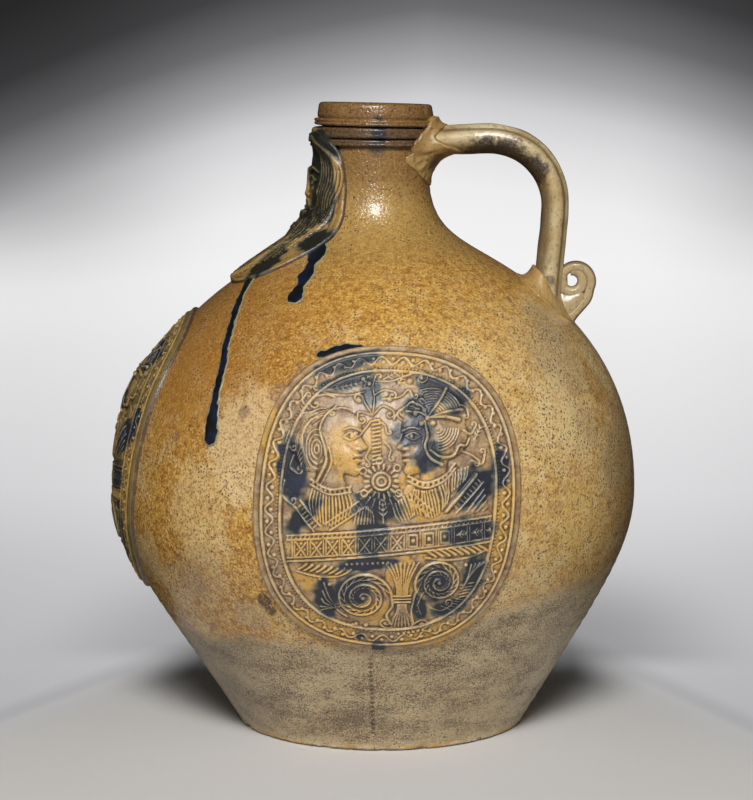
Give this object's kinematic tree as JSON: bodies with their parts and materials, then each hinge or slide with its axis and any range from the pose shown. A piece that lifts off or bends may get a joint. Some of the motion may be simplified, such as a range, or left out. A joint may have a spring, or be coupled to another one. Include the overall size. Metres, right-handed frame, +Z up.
{
  "type": "salt-glazed stoneware jug",
  "caption": "Round-bellied salt-glazed stoneware jug with a narrow corded neck, bearded mask, moulded oval medallions and a strap handle with a curled tail.",
  "frame": {"origin": "middle of the flat foot the jug stands on", "axes": "+Z up the jug's axis to its mouth, +X towards the handle, -X towards the mask and the front medallion"},
  "size_m": [0.305, 0.3079, 0.36],
  "materials": {
    "brown_salt_glaze": "speckled orange-brown salt glaze, grey-buff towards the foot, fine orange-peel texture",
    "relief_glaze": "brown salt glaze worn pale on the ridges, with cobalt blue washed into the hollows",
    "cobalt_glaze": "cobalt blue-black under a glossy salt glaze, brown at the margins",
    "grey_salt_glaze": "grey-buff salt glaze with brown patches, glossy"
  },
  "bodies": {
    "root": {"thrown_pot": "brown_salt_glaze", "right_medallion": "relief_glaze", "left_medallion": "relief_glaze", "front_medallion": "relief_glaze", "face_mask": "cobalt_glaze", "upper_joint_clay": "grey_salt_glaze", "lower_joint_clay": "grey_salt_glaze", "strap_handle": "grey_salt_glaze", "tail_loop": "grey_salt_glaze"}
  },
  "joints": []
}
